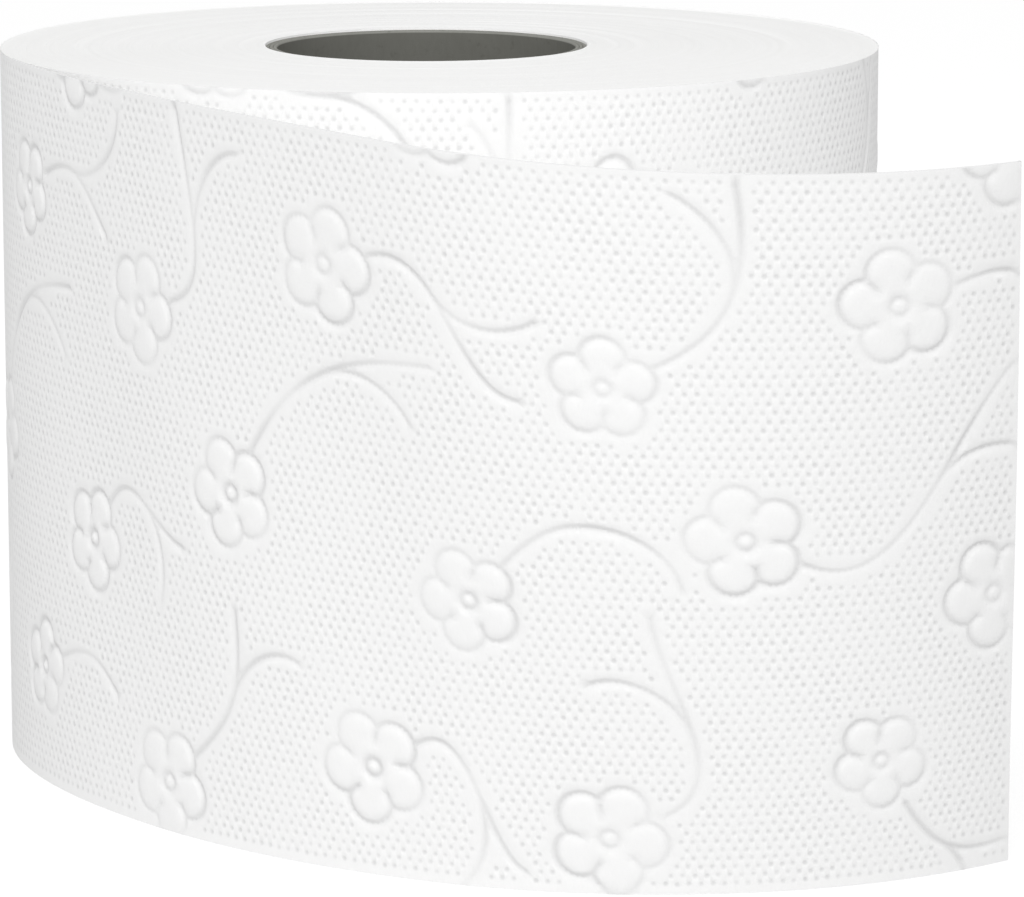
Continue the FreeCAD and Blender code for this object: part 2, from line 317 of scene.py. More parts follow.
@dataclass(frozen=True)
class StemHabit:
    """How the stems and their side branches grow.

    Attributes:
        bow: Angle by which a stem leaves the straight way to the next blossom, in degrees.
        twists: Shares of that angle with which the way can arrive there.
        run: Share of the way that the stem takes before it ends freely.
        start_gap: Room between a blossom and its stem.
        end_gap: Room between the way's end and the next blossom.
        leave_pull: Pull on the way as it leaves, as a share of its length.
        arrive_pull: Pull on it as it arrives.
        fork: Share of the stem at which a branch leaves it.
        branch_reach: Straight distance from the fork to the branch's tip.
        branch_aside: Angle between the stem and the branch's tip, in degrees.
        branch_bend: Angle between the stem and the branch's last stretch, in degrees.
        branch_leave_pull: Pull on the branch as it leaves, as a share of its reach.
        branch_arrive_pull: Pull on it as it comes to its tip.
    """

    bow: Span = Span(30.0, 48.0)
    twists: tuple[float, float] = (-0.6, 1.0)
    run: Span = Span(0.74, 0.92)
    start_gap: float = 0.5
    end_gap: float = 1.6
    leave_pull: float = 0.33
    arrive_pull: float = 0.30
    fork: Span = Span(0.30, 0.50)
    branch_reach: Span = Span(13.0, 18.0)
    branch_aside: Span = Span(38.0, 52.0)
    branch_bend: Span = Span(80.0, 105.0)
    branch_leave_pull: float = 0.40
    branch_arrive_pull: float = 0.35

    def stems(self, blossom: Blossom, other: Blossom, chance: random.Random) -> list[np.ndarray]:
        """Draws the two stems that a blossom can have, one on each side of the straight way.

        Args:
            blossom: Where they start.
            other: Which blossom they head for.
            chance: Source of the small differences.

        Returns:
            The points of both.
        """
        bow = self.bow.angle(chance)
        twist = chance.choice(self.twists)
        run = self.run.draw(chance)
        ways = [self.way(blossom, other, side * bow, twist) for side in (-1.0, 1.0)]
        return [way[: int(run * len(way))] for way in ways]

    def way(self, blossom: Blossom, other: Blossom, bow: float, twist: float) -> np.ndarray:
        """Draws the whole curved way from one blossom to another.

        Args:
            blossom: Where it starts.
            other: Where it ends, just short of the petals.
            bow: Angle by which it leaves the straight way, in radians.
            twist: Share of that angle with which it arrives.

        Returns:
            The points of the way.
        """
        chord = other.centre - blossom.centre
        length = float(np.hypot(*chord))
        heading = math.atan2(chord[1], chord[0])
        leave = ray(heading + bow)
        arrive = ray(heading + math.pi + twist * bow)
        start = blossom.centre + leave * (blossom.reach + self.start_gap)
        end = other.centre + arrive * (other.reach + self.end_gap)
        start_handle = start + leave * self.leave_pull * length
        end_handle = end + arrive * self.arrive_pull * length
        return bent_line(start, start_handle, end_handle, end)

    def branch(self, stem: np.ndarray, hand: float, chance: random.Random) -> np.ndarray:
        """Draws a side branch that leaves a stem gently and bends away from it.

        Args:
            stem: The stem's points.
            hand: Side of the stem that the branch grows on, -1 or 1.
            chance: Source of the small differences.

        Returns:
            The branch's points, from the fork to its free end.
        """
        fork = int(len(stem) * self.fork.draw(chance))
        base = stem[fork]
        heading = math.atan2(*(stem[fork + 1] - stem[fork - 1])[::-1])
        reach = self.branch_reach.draw(chance)
        tip = base + ray(heading + hand * self.branch_aside.angle(chance)) * reach
        arrive = ray(heading + hand * self.branch_bend.angle(chance))
        base_handle = base + ray(heading) * self.branch_leave_pull * reach
        tip_handle = tip - arrive * self.branch_arrive_pull * reach
        return bent_line(base, base_handle, tip_handle, tip)


@dataclass(frozen=True)
class DotRows:
    """The small dots, in staggered rows that stop short of the pressed lines.

    Attributes:
        step: Distance between dots in a row.
        row_step: Distance between rows.
        first_row: Distance of the first row from the web's edge.
        drift: How far a dot lies off its place.
        radius: Radius of a dot's mouth.
        corners: Corners of that mouth.
        depth: Depth of the deepest dots.
        force: Shares of that depth that single dots have.
        patches: How the dots differ from one patch of the web to the next.
        line_clear: Room that the dots leave beside a pressed line.
        edge_clear: Room between a dot's mouth and the web's edge.
    """

    step: float = 1.5
    row_step: float = 1.17
    first_row: float = 0.35
    drift: float = 0.07
    radius: float = 0.47
    corners: int = 6
    depth: float = 0.26
    force: Span = Span(0.55, 1.0)
    patches: Unevenness = Unevenness(0.9, 0.1, 3.1, 4.3, 2.0)
    line_clear: float = 1.35
    edge_clear: float = 0.15


@dataclass(frozen=True)
class Groove:
    """A pressed line, and the paper that rises beside it inside a blossom.

    Attributes:
        depth: Depth of the deepest lines.
        half: Half width of a line.
        strength: How the lines differ along the web.
        grey: Share of a line's pressing that is painted as grey shade.
        puff: Rise of the paper inside blossoms.
        puff_run: Distance from a line over which it rises.
    """

    depth: float = 0.32
    half: float = 0.43
    strength: Unevenness = Unevenness(0.68, 0.32, 4.1, 4.7, 1.7)
    grey: float = 0.7
    puff: float = 0.08
    puff_run: float = 1.7


@dataclass(frozen=True)
class PointPlan:
    """How closely the points of the flat web are set.

    Attributes:
        line_rows: Distance aside and step of each row of points along a pressed line.
        row_clear: Share of that distance that a row keeps from every line.
        line_margin: Room between those rows and the web's edge.
        cell: Size of the cells in which one such point stays.
        fill_step: Step of the points on the smooth paper inside blossoms.
        fill_rows: Distance between their rows, as a share of the step.
        fill_clear: Room that they leave beside a pressed line.
        fill_margin: Room between them and the web's edge.
        border_step: Step along the web's edges.
        search_step: Step along the lines for finding the nearest line.
        room_step: Step along the lines for measuring the room between them.
        root_points: Points at a new line's start that may touch what it grows from.
    """

    line_rows: tuple[tuple[float, float], ...] = (
        (0.0, 0.4),
        (0.3, 0.4),
        (-0.3, 0.4),
        (0.68, 0.6),
        (-0.68, 0.6),
    )
    row_clear: float = 0.85
    line_margin: float = 0.3
    cell: float = 0.2
    fill_step: float = 0.75
    fill_rows: float = 0.87
    fill_clear: float = 0.95
    fill_margin: float = 0.4
    border_step: float = 0.6
    search_step: float = 0.15
    room_step: float = 0.8
    root_points: int = 6


@dataclass
class FlatWeb:
    """The drawn web before it is laid along its path.

    Attributes:
        points: Flat places, along and across the web.
        faces: Corner numbers of its triangles.
        relief: Height of each point over the plain paper.
        painted_shade: How hard each point is pressed, 0 to 1.
    """

    points: np.ndarray
    faces: np.ndarray
    relief: np.ndarray
    painted_shade: np.ndarray


@dataclass
class Emboss:
    """The pattern pressed into the web: rows of small dots, and blossoms on long forked stems.

    Attributes:
        start: Where the drawn web begins along its length.
        stop: Where it ends.
        width: Width of the web.
        planting: Where the blossoms stand.
        habit: How the stems grow.
        dots: The rows of dots.
        groove: The pressed lines.
        plan: How closely the points are set.
        spacing: Least distance between stems and blossoms that don't belong together.
        edge_run: Distance from a cut edge over which the relief sets in.
        seed: Seed of the hand-drawn unevenness.
        blossoms: All blossoms.
        lines: Points of every pressed line.
        index: Finds the nearest pressed line.
    """

    start: float
    stop: float
    width: float
    planting: Planting = Planting()
    habit: StemHabit = StemHabit()
    dots: DotRows = DotRows()
    groove: Groove = Groove()
    plan: PointPlan = PointPlan()
    spacing: float = 1.6
    edge_run: float = 1.4
    seed: int = 11
    blossoms: list[Blossom] = field(init=False)
    lines: list[np.ndarray] = field(init=False, default_factory=list)
    index: KDTree = field(init=False)

    def __post_init__(self) -> None:
        """Draws the pattern and indexes its lines."""
        grid = self.planting.plant(self.start, self.stop, self.width, random.Random(self.seed))
        self.blossoms = list(grid.values())
        self.grow_stems(grid)
        for blossom in self.blossoms:
            self.lines.extend(blossom.lines())
        samples = np.concatenate([resample(line, self.plan.search_step) for line in self.lines])
        self.index = KDTree(len(samples))
        for number, (along, across) in enumerate(samples):
            self.index.insert((along, across, 0.0), number)
        self.index.balance()

    def grow_stems(self, grid: dict[tuple[int, int], Blossom]) -> None:
        """Gives each blossom a curved stem that heads for the next column, forks and ends freely.

        Args:
            grid: The blossoms by column and tier.
        """
        chance = random.Random(self.seed + 1)
        for (column, tier), blossom in grid.items():
            climb = (column + tier) % 2
            other = grid.get((column + 1, tier + climb))
            if other is None:
                continue
            stem = max(self.habit.stems(blossom, other, chance), key=self.room)
            if self.room(stem) < self.spacing:
                continue
            branches = [self.habit.branch(stem, hand, chance) for hand in (-1.0, 1.0)]
            branch = max(branches, key=self.room)
            if self.room(branch) > self.spacing:
                self.lines.append(branch)
            self.lines.append(stem)

    def room(self, line: np.ndarray) -> float:
        """Room between a new line and all that is drawn.

        Args:
            line: Points of the new line.

        Returns:
            The least distance.
        """
        points = resample(line, self.plan.room_step)[self.plan.root_points : -1]
        least = min(
            float(np.min(np.hypot(*(points - blossom.centre).T))) - blossom.reach
            for blossom in self.blossoms
        )
        if self.lines:
            drawn = np.concatenate([resample(old, self.plan.room_step) for old in self.lines])
            gaps = np.linalg.norm(points[:, None, :] - drawn[None, :, :], axis=2)
            least = min(least, float(gaps.min()))
        return least

    def distance(self, points: np.ndarray) -> np.ndarray:
        """Distance from flat points to the nearest pressed line."""
        find = self.index.find
        return np.array([find((along, across, 0.0))[2] for along, across in points])

    def inside(self, points: np.ndarray) -> np.ndarray:
        """Whether flat points lie in a blossom."""
        held = np.zeros(len(points), dtype=bool)
        for blossom in self.blossoms:
            held |= blossom.holds(points)
        return held

    def on_web(self, points: np.ndarray, margin: float) -> np.ndarray:
        """Whether flat points lie on the web, with a margin from its edges."""
        low = np.array([self.start, 0.0]) + margin
        high = np.array([self.stop, self.width]) - margin
        return np.all((points > low) & (points < high), axis=1)

    def line_points(self) -> np.ndarray:
        """Rows of points along every pressed line and beside it."""
        rows: list[np.ndarray] = []
        for aside, step in self.plan.line_rows:
            for line in self.lines:
                points = resample(line, step)
                heading = unit(np.gradient(points, axis=0))
                points = points + aside * np.column_stack([-heading[:, 1], heading[:, 0]])
                if aside:
                    points = points[self.distance(points) > self.plan.row_clear * abs(aside)]
                rows.append(points)
        points = np.concatenate(rows)
        points = points[self.on_web(points, self.plan.line_margin)]
        cells = np.round(points / self.plan.cell).astype(int)
        first = np.unique(cells, axis=0, return_index=True)[1]
        return points[np.sort(first)]

    def fill_points(self) -> np.ndarray:
        """Loosely set points over the smooth paper inside blossoms."""
        step = self.plan.fill_step
        along, across = np.meshgrid(
            np.arange(self.start, self.stop, step),
            np.arange(0.0, self.width, step * self.plan.fill_rows),
        )
        along = along + 0.5 * step * (np.arange(along.shape[0]) % 2)[:, None]
        points = np.column_stack([along.ravel(), across.ravel()])
        points = points[self.on_web(points, self.plan.fill_margin) & self.inside(points)]
        return points[self.distance(points) > self.plan.fill_clear]

    def dot_centres(self) -> np.ndarray:
        """Centres of the dots, each a little off its place."""
        chance = np.random.default_rng(self.seed + 2)
        dots = self.dots
        rows = int(self.width / dots.row_step) + 1
        along, row = np.meshgrid(np.arange(self.start, self.stop, dots.step), np.arange(rows))
        along = along + 0.5 * dots.step * (row % 2)
        across = row * dots.row_step + dots.first_row
        points = np.column_stack([along.ravel(), across.ravel()])
        points += chance.uniform(-dots.drift, dots.drift, points.shape)
        points = points[self.on_web(points, dots.radius + dots.edge_clear)]
        points = points[~self.inside(points)]
        return points[self.distance(points) > dots.line_clear]

    def border_points(self) -> np.ndarray:
        """Points along the web's four edges."""
        step = self.plan.border_step
        run = np.linspace(self.start, self.stop, int((self.stop - self.start) / step) + 1)
        rise = np.linspace(0.0, self.width, int(self.width / step) + 1)[1:-1]
        edges = (
            (run, np.zeros(run.size)),
            (run, np.full(run.size, self.width)),
            (np.full(rise.size, self.start), rise),
            (np.full(rise.size, self.stop), rise),
        )
        return np.concatenate([np.column_stack(edge) for edge in edges])

    def draw(self) -> FlatWeb:
        """Lays out the web's points, joins them into triangles and presses the relief.

        Returns:
            The flat web with its relief.
        """
        chance = np.random.default_rng(self.seed + 3)
        dots = self.dots
        centres = self.dot_centres()
        angles = FULL_TURN * np.arange(dots.corners) / dots.corners
        ring = dots.radius * np.column_stack([np.cos(angles), np.sin(angles)])
        mouths = (centres[:, None, :] + ring[None, :, :]).reshape(-1, 2)
        plain = [self.border_points(), self.line_points(), self.fill_points(), mouths]
        points = np.concatenate([centres, *plain])
        force = np.zeros(len(points))
        shares = chance.uniform(dots.force.least, dots.force.most, len(centres))
        force[: len(centres)] = shares * dots.patches.at(centres)

        corners = [Vector(point) for point in points]
        found = delaunay_2d_cdt(corners, [], [], 0, JOIN_TOLERANCE)
        kept = np.array([origin[0] for origin in found[3]])
        return self.press(points[kept], np.array(found[2]), force[kept])

    def press(self, points: np.ndarray, faces: np.ndarray, force: np.ndarray) -> FlatWeb:
        """Presses the pattern into the web's points.

        Args:
            points: The web's points.
            faces: Corner numbers of its triangles.
            force: How deep a dot is at each point, 0 beside the dots.

        Returns:
            The flat web with its relief and its painted shade.
        """
        groove = self.groove
        gap = self.distance(points)
        line = groove.strength.at(points) * np.exp(-((gap / groove.half) ** 2))
        puff = groove.puff * smooth(gap / groove.puff_run) * self.inside(points)
        relief = puff - groove.depth * line - self.dots.depth * force
        edge = np.minimum(points[:, 1], self.width - points[:, 1])
        edge = np.minimum(edge, self.stop - points[:, 0])
        relief *= smooth(edge / self.edge_run)
        # The pressing of dots and lines is kept as the painted shade of the dents.
        return FlatWeb(points, faces, relief, np.maximum(force, groove.grey * line))


@dataclass(frozen=True)
class Winding:
    """The spiral on which the web lies.

    Attributes:
        radius: Outer radius of the roll.
        off_centre: How far the outer turns lie off the tube's centre.
        tube_radius: Radius on which the first turn is wound.
        layer: Distance between turns.
        slack: Room between the spiral's inner end and the tube.
        leave_angle: Angle at which the web leaves the roll, in degrees.
    """

    radius: float = 59.0
    off_centre: float = 1.9
    tube_radius: float = 21.6
    layer: float = 0.32
    slack: float = 0.2
    leave_angle: float = 198.0

    @property
    def turns(self) -> float:
        """Number of turns between the tube and the outside."""
        return (self.radius - self.tube_radius - self.slack) / self.layer

    def place(
        self, back: np.ndarray, rise: np.ndarray | float
    ) -> tuple[np.ndarray, np.ndarray, np.ndarray]:
        """Finds points of the spiral.

        Args:
            back: Angle wound back from where the web leaves, in radians.
            rise: Height over the turn's own face.

        Returns:
            The places along X and Y, and the angle of each.
        """
        angle = math.radians(self.leave_angle) - back
        turn_radius = self.radius - self.layer * back / FULL_TURN
        wound = self.radius - self.tube_radius
        centre = self.off_centre * (turn_radius - self.tube_radius) / wound
        reach = turn_radius + rise
        return centre + reach * np.cos(angle), reach * np.sin(angle), angle


@dataclass(frozen=True)
class EdgeCurve:
    """The flat curve that one edge of the loose sheet follows: a wide sweep, then a tighter curl.

    Attributes:
        sweep_radius: Radius of the first arc.
        sweep_turn: Angle of the first arc, in degrees.
        curl_radius: Radius of the second arc.
        curl_turn: Angle of the second arc, in degrees.
    """

    sweep_radius: float
    sweep_turn: float
    curl_radius: float
    curl_turn: float

    @property
    def sweep_length(self) -> float:
        """Length of the first arc."""
        return self.sweep_radius * math.radians(self.sweep_turn)

    @property
    def length(self) -> float:
        """Length of the whole curve."""
        return self.sweep_length + self.curl_radius * math.radians(self.curl_turn)

    def walk(self, start: np.ndarray, heading: float, distance: np.ndarray) -> np.ndarray:
        """Follows the curve.

        Args:
            start: Where the curve begins.
            heading: Direction in which it begins, in radians.
            distance: Distances along it.

        Returns:
            One flat point for each distance.
        """
        first = np.minimum(distance, self.sweep_length)
        second = np.maximum(distance - self.sweep_length, 0.0)
        middle = heading + first / self.sweep_radius
        end = middle + second / self.curl_radius
        x = start[0] + self.sweep_radius * (np.sin(middle) - math.sin(heading))
        y = start[1] + self.sweep_radius * (math.cos(heading) - np.cos(middle))
        x += self.curl_radius * (np.sin(end) - np.sin(middle))
        y += self.curl_radius * (np.cos(middle) - np.cos(end))
        return np.column_stack([x, y])


@dataclass(frozen=True)
class Dress:
    """What a piece of the roll wears and stands for.

    Attributes:
        material: Its finish.
        slot: The record's slot for that finish; not used.
        node: The CAD node that it stands for.
    """

    material: bpy.types.Material
    slot: Slot
    node: str


@dataclass
class Relief:
    """A mesh in the making: places, triangles and what its material reads.

    Attributes:
        places: Corners, in millimetres.
        faces: Corner numbers of the triangles.
        values: Named numbers of each corner.
    """

    places: np.ndarray
    faces: np.ndarray
    values: dict[str, np.ndarray]

    def normals(self) -> np.ndarray:
        """Smooth normals of the corners."""
        corners = self.places[self.faces]
        area = np.cross(corners[:, 1] - corners[:, 0], corners[:, 2] - corners[:, 0])
        total = np.zeros_like(self.places)
        for corner in range(3):
            np.add.at(total, self.faces[:, corner], area)
        return unit(total)

    def make(self, name: str, dress: Dress) -> bpy.types.Object:
        """Makes the object, dressed and set on the part.

        Args:
            name: Name of the piece.
            dress: What it wears and stands for.

        Returns:
            The object.
        """
        return self.make_part(name, dress, np.ones(len(self.faces), dtype=bool), self.normals())

    def make_part(
        self, name: str, dress: Dress, chosen: np.ndarray, normals: np.ndarray
    ) -> bpy.types.Object:
        """Makes an object of the chosen triangles, with the normals of the whole.

        Args:
            name: Name of the piece.
            dress: What it wears and stands for.
            chosen: Which triangles belong to it.
            normals: Normals of all corners.

        Returns:
            The object.
        """
        used, faces = np.unique(self.faces[chosen], return_inverse=True)
        faces = faces.reshape(-1, 3)
        mesh = bpy.data.meshes.new(name)
        mesh.from_pydata((self.places[used] * MM).tolist(), [], faces.tolist())
        for label, numbers in self.values.items():
            layer = mesh.attributes.new(label, "FLOAT", "POINT")
            layer.data.foreach_set("value", numbers[used].astype(np.float32))
        mesh.polygons.foreach_set("use_smooth", np.ones(len(faces), dtype=bool))
        mesh.normals_split_custom_set_from_vertices(normals[used].tolist())
        mesh.materials.append(dress.material)
        mesh.update()
        piece = bpy.data.objects.new(name, mesh)
        bpy.context.scene.collection.objects.link(piece)
        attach(piece, "root")
        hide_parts(dress.node)
        return piece


class NodeSheet:
    """A short hand for laying out shader nodes and their links.

    Attributes:
        tree: The tree that it fills.
        column: Number of nodes laid out so far.
    """

    SPACING = 220.0

    def __init__(self, tree: bpy.types.NodeTree) -> None:
        """Starts on an empty tree.

        Args:
            tree: The tree to fill.
        """
        self.tree = tree
        self.column = 0

    def add(self, kind: str, **settings: object) -> bpy.types.Node:
        """Adds a node.

        Args:
            kind: Blender's name of the node type.
            settings: Properties of the node.

        Returns:
            The node.
        """
        node = self.tree.nodes.new(kind)
        for name, value in settings.items():
            setattr(node, name, value)
        node.location = (self.SPACING * self.column, 0.0)
        self.column += 1
        return node

    def link(self, source: Socket, target: Socket) -> None:
        """Joins two sockets."""
        self.tree.links.new(source, target)

    def feed(self, socket: Socket, value: float | Colour | Socket) -> None:
        """Gives a socket its value.

        Args:
            socket: The socket.
            value: A number or a colour to set, or another socket to link.
        """
        if isinstance(value, Socket):
            self.link(value, socket)
        else:
            socket.default_value = (*value, 1.0) if isinstance(value, tuple) else value

    def math(self, operation: str, first: float | Socket, second: float | Socket) -> Socket:
        """Reckons with two values, each a number or a socket.

        Args:
            operation: Name of the operation.
            first: First value.
            second: Second value.

        Returns:
            The socket with the result.
        """
        node = self.add("ShaderNodeMath", operation=operation)
        self.feed(node.inputs[0], first)
        self.feed(node.inputs[1], second)
        return node.outputs[0]

    def noise(self, place: Socket, scale: float, detail: float) -> Socket:
        """Adds cloudy noise over a place.

        Args:
            place: Socket with the place.
            scale: Cells in a metre.
            detail: Number of finer layers.

        Returns:
            The socket with values about 0 to 1.
        """
        node = self.add("ShaderNodeTexNoise")
        node.inputs["Scale"].default_value = scale
        node.inputs["Detail"].default_value = detail
        self.link(place, node.inputs["Vector"])
        return node.outputs["Fac"]

    def blend(self, share: float | Socket, low: Colour | Socket, high: Colour | Socket) -> Socket:
        """Mixes two colours.

        Args:
            share: Socket or number that is 0 at the first colour.
            low: First colour, or a socket with it.
            high: Second colour, or a socket with it.

        Returns:
            The socket with the colour.
        """
        node = self.add("ShaderNodeMix", data_type="RGBA")
        for socket, value in ((node.inputs[0], share), (node.inputs[6], low), (node.inputs[7], high)):
            self.feed(socket, value)
        return node.outputs[2]

    def value(self, name: str) -> Socket:
        """Reads a named number of the mesh."""
        return self.add("ShaderNodeAttribute", attribute_name=name).outputs["Fac"]


@dataclass(frozen=True)
class Fibres:
    """The fibres of paper and board, as cloudiness and as a fine relief.

    Attributes:
        stretch: Stretch of the fibres along Z.
        detail: Number of finer layers of fibres.
        roughness: How strong those layers are.
        strand_size: Strands in a metre, as a share of the fibres in a metre.
        strand_height: Height at which a strand levels off.
        cloud_size: Clouds in a metre.
        cloud_detail: Number of finer layers of clouds.
    """

    stretch: float = 0.35
    detail: float = 5.0
    roughness: float = 0.6
    strand_size: float = 0.45
    strand_height: float = 0.25
    cloud_size: float = 90.0
    cloud_detail: float = 3.0

    def make(self) -> bpy.types.NodeTree:
        """Makes the node group.

        Returns:
            The group, which takes a place and the number of fibres in a metre.
        """
        tree = bpy.data.node_groups.new("paper_fibres", "ShaderNodeTree")
        tree.interface.new_socket("Place", in_out="INPUT", socket_type="NodeSocketVector")
        tree.interface.new_socket("Size", in_out="INPUT", socket_type="NodeSocketFloat")
        tree.interface.new_socket("Cloud", in_out="OUTPUT", socket_type="NodeSocketFloat")
        tree.interface.new_socket("Height", in_out="OUTPUT", socket_type="NodeSocketFloat")
        sheet = NodeSheet(tree)
        given = sheet.add("NodeGroupInput")
        result = sheet.add("NodeGroupOutput")
        stretched = sheet.add("ShaderNodeVectorMath", operation="MULTIPLY")
        sheet.link(given.outputs["Place"], stretched.inputs[0])
        stretched.inputs[1].default_value = (1.0, 1.0, self.stretch)
        fine = sheet.add("ShaderNodeTexNoise")
        fine.inputs["Detail"].default_value = self.detail
        fine.inputs["Roughness"].default_value = self.roughness
        sheet.link(stretched.outputs[0], fine.inputs["Vector"])
        sheet.link(given.outputs["Size"], fine.inputs["Scale"])
        strands = sheet.add("ShaderNodeTexVoronoi", feature="DISTANCE_TO_EDGE")
        sheet.link(stretched.outputs[0], strands.inputs["Vector"])
        strand_size = sheet.math("MULTIPLY", given.outputs["Size"], self.strand_size)
        sheet.link(strand_size, strands.inputs["Scale"])
        strand = sheet.math("MINIMUM", strands.outputs["Distance"], self.strand_height)
        height = sheet.math("ADD", fine.outputs["Fac"], strand)
        broad = sheet.noise(given.outputs["Place"], self.cloud_size, self.cloud_detail)
        cloud = sheet.math("MULTIPLY", sheet.math("ADD", fine.outputs["Fac"], broad), 0.5)
        sheet.link(cloud, result.inputs["Cloud"])
        sheet.link(height, result.inputs["Height"])
        return tree


@dataclass(frozen=True)
class Finish:
    """What every finish of the roll has: a name, its light tone, its dark tone that also serves as
    painted shade, and how rough it is.

    Attributes:
        name: Name of the material.
        light: Colour of the clean surface.
        dark_and_shade: Colour where it is soiled, mottled or streaked, and of the shade painted where
            it is pressed or cut and in its gaps and seams.
        roughness: Roughness of the surface.
        fibre_size: Fibres in a metre.
        fibre_depth: Height of the fibres, in millimetres.
        gloss: Level of the surface's plain reflection.
        rough_swing: How much the roughness differs from place to place.
    """

    name: str
    light: Colour
    dark_and_shade: Colour
    roughness: float
    fibre_size: float
    fibre_depth: float
    gloss: float = 0.15
    rough_swing: float = 0.12

    def make(self, fibres: bpy.types.NodeTree) -> bpy.types.Material:
        """Makes the material.

        Args:
            fibres: The fibre group.

        Returns:
            The material.
        """
        material = bpy.data.materials.new(self.name)
        material.use_nodes = True
        material.node_tree.nodes.clear()
        sheet = NodeSheet(material.node_tree)
        out = sheet.add("ShaderNodeOutputMaterial")
        shader = sheet.add("ShaderNodeBsdfPrincipled")
        sheet.link(shader.outputs[0], out.inputs[0])
        shader.inputs["Specular IOR Level"].default_value = self.gloss
        place = sheet.add("ShaderNodeTexCoord").outputs["Object"]
        fibre = sheet.add("ShaderNodeGroup", node_tree=fibres)
        fibre.inputs["Size"].default_value = self.fibre_size
        sheet.link(place, fibre.inputs["Place"])
        cloud = fibre.outputs["Cloud"]
        swing = sheet.math("MULTIPLY", cloud, self.rough_swing)
        rough = sheet.math("ADD", swing, self.roughness - 0.5 * self.rough_swing)
        sheet.link(rough, shader.inputs["Roughness"])
        bump = sheet.add("ShaderNodeBump")
        bump.inputs["Strength"].default_value = 1.0
        bump.inputs["Distance"].default_value = self.fibre_depth * MM
        sheet.link(fibre.outputs["Height"], bump.inputs["Height"])
        sheet.link(bump.outputs[0], shader.inputs["Normal"])
        sheet.link(self.colour(sheet, cloud, place), shader.inputs["Base Color"])
        return material

    def colour(self, sheet: NodeSheet, cloud: Socket, place: Socket) -> Socket:
        """Lays out the nodes of the colour, each finish in its own way.

        Args:
            sheet: The material's sheet.
            cloud: Cloudiness of the fibres.
            place: Place on the piece.

        Returns:
            The socket with the colour.
        """
        raise NotImplementedError


@dataclass(frozen=True)
class TissueFace(Finish):
    """The open face of the tissue: creped, with grey shade painted where it is pressed and along its
    cut edges.

    Attributes:
        spread: How strongly the painted shade of a pressed place spreads to its rim.
        cloud_share: Share of the grey that the cloudiness adds.
    """

    spread: float = 1.6
    cloud_share: float = 0.05

    def colour(self, sheet: NodeSheet, cloud: Socket, place: Socket) -> Socket:
        """Paints grey shade where the paper is pressed, as Finish.colour says."""
        grey = sheet.math("MULTIPLY", cloud, self.cloud_share)
        # Painted shade: the pressed dots and lines and the cut edges turn grey, as if shade falls
        # into them.
        painted_shade = sheet.math("MULTIPLY", sheet.value("painted_shade"), self.spread)
        share = sheet.math("ADD", sheet.math("MINIMUM", painted_shade, 1.0), grey)
        return sheet.blend(share, self.light, self.dark_and_shade)


@dataclass(frozen=True)
class WoundEdge(Finish):
    """The cut edges of the wound turns: streaked turn by turn, with painted shade in the gaps between
    turns.

    Attributes:
        streaks: Streaks in one turn.
        streak_detail: Number of finer layers of streaks.
        drift_size: Broad patches in a metre, in which the streaks come and go.
        drift_detail: Number of finer layers of those patches.
        cloud_share: Share of the grey that the cloudiness adds.
        gap_shade_share: Share of painted shade that the gaps between turns add.
    """

    streaks: float = 0.35
    streak_detail: float = 4.0
    drift_size: float = 28.0
    drift_detail: float = 2.0
    cloud_share: float = 0.2
    gap_shade_share: float = 0.4

    def colour(self, sheet: NodeSheet, cloud: Socket, place: Socket) -> Socket:
        """Streaks the edges turn by turn and paints shade in their gaps, as Finish.colour says."""
        streak = sheet.add("ShaderNodeTexNoise", noise_dimensions="1D")
        streak.inputs["Scale"].default_value = self.streaks
        streak.inputs["Detail"].default_value = self.streak_detail
        sheet.link(sheet.value("turn"), streak.inputs["W"])
        drift = sheet.noise(place, self.drift_size, self.drift_detail)
        mixed = sheet.math("MULTIPLY", streak.outputs["Fac"], drift)
        grey = sheet.math("MULTIPLY", cloud, self.cloud_share)
        # Painted shade in the gaps between turns.
        gaps = sheet.math("MULTIPLY", sheet.value("painted_shade"), self.gap_shade_share)
        share = sheet.math("ADD", sheet.math("ADD", mixed, grey), gaps)
        return sheet.blend(share, self.light, self.dark_and_shade)


